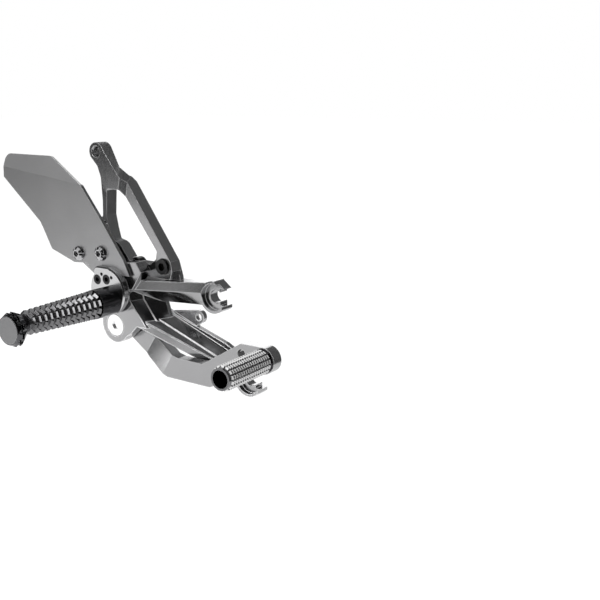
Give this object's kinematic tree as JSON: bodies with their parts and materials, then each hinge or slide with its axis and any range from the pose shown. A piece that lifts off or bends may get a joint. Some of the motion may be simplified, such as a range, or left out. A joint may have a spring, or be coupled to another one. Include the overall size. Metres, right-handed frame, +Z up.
{
  "type": "rear sets footrest",
  "caption": "Brake-side rear sets footrest: milled base plate, toothed foot peg on an adjuster disc, heel guard, master cylinder bracket and a sprung brake lever with toe peg",
  "frame": {"origin": "on the axis of the upper frame mount, 4 mm outboard of the collar end that seats on the motorcycle frame", "axes": "+X forward on the motorcycle, +Y inboard to the frame along the mount, +Z up"},
  "size_m": [0.2326, 0.123, 0.1608],
  "materials": {
    "dark_anodised": "dark anodised, milled, bright edges",
    "grey_anodised": "satin grey",
    "black_anodised": "glossy black anodised",
    "satin_sheet": "fine blasted satin",
    "grip_metal": "cut teeth with bright flanks",
    "black_screw": "blackened steel",
    "bright_screw": "dark polished steel",
    "pale_bolt": "bright turned steel",
    "bearing_steel": "ground steel"
  },
  "bodies": {
    "base": {"base_plate": "dark_anodised", "adjuster_disc": "grey_anodised", "adjuster_screws": "black_screw", "foot_peg": "black_anodised", "peg_end_cap": "grey_anodised", "peg_bolt": "black_screw", "heel_guard": "satin_sheet", "heel_guard_screws": "bright_screw", "cylinder_bracket": "dark_anodised", "bracket_screws": "black_screw", "pivot_bolt": "pale_bolt", "pivot_shims": "bearing_steel", "pivot_nut": "black_screw", "bearing_inner_rings": "bearing_steel", "bearing_spacer": "bearing_steel"},
    "lever": {"brake_lever": "dark_anodised", "bearing_outer_rings": "bearing_steel", "toe_peg": "grip_metal", "toe_peg_screw": "black_screw"}
  },
  "joints": [
    {"name": "brake_pedal", "type": "hinge", "parent": "base", "child": "lever", "pos_m": [-0.0675, -0.015, -0.0238], "axis": [0, 1, 0], "range_deg": [0, 10], "stiffness_Nm_per_rad": 2, "springref_deg": -11.46}
  ]
}
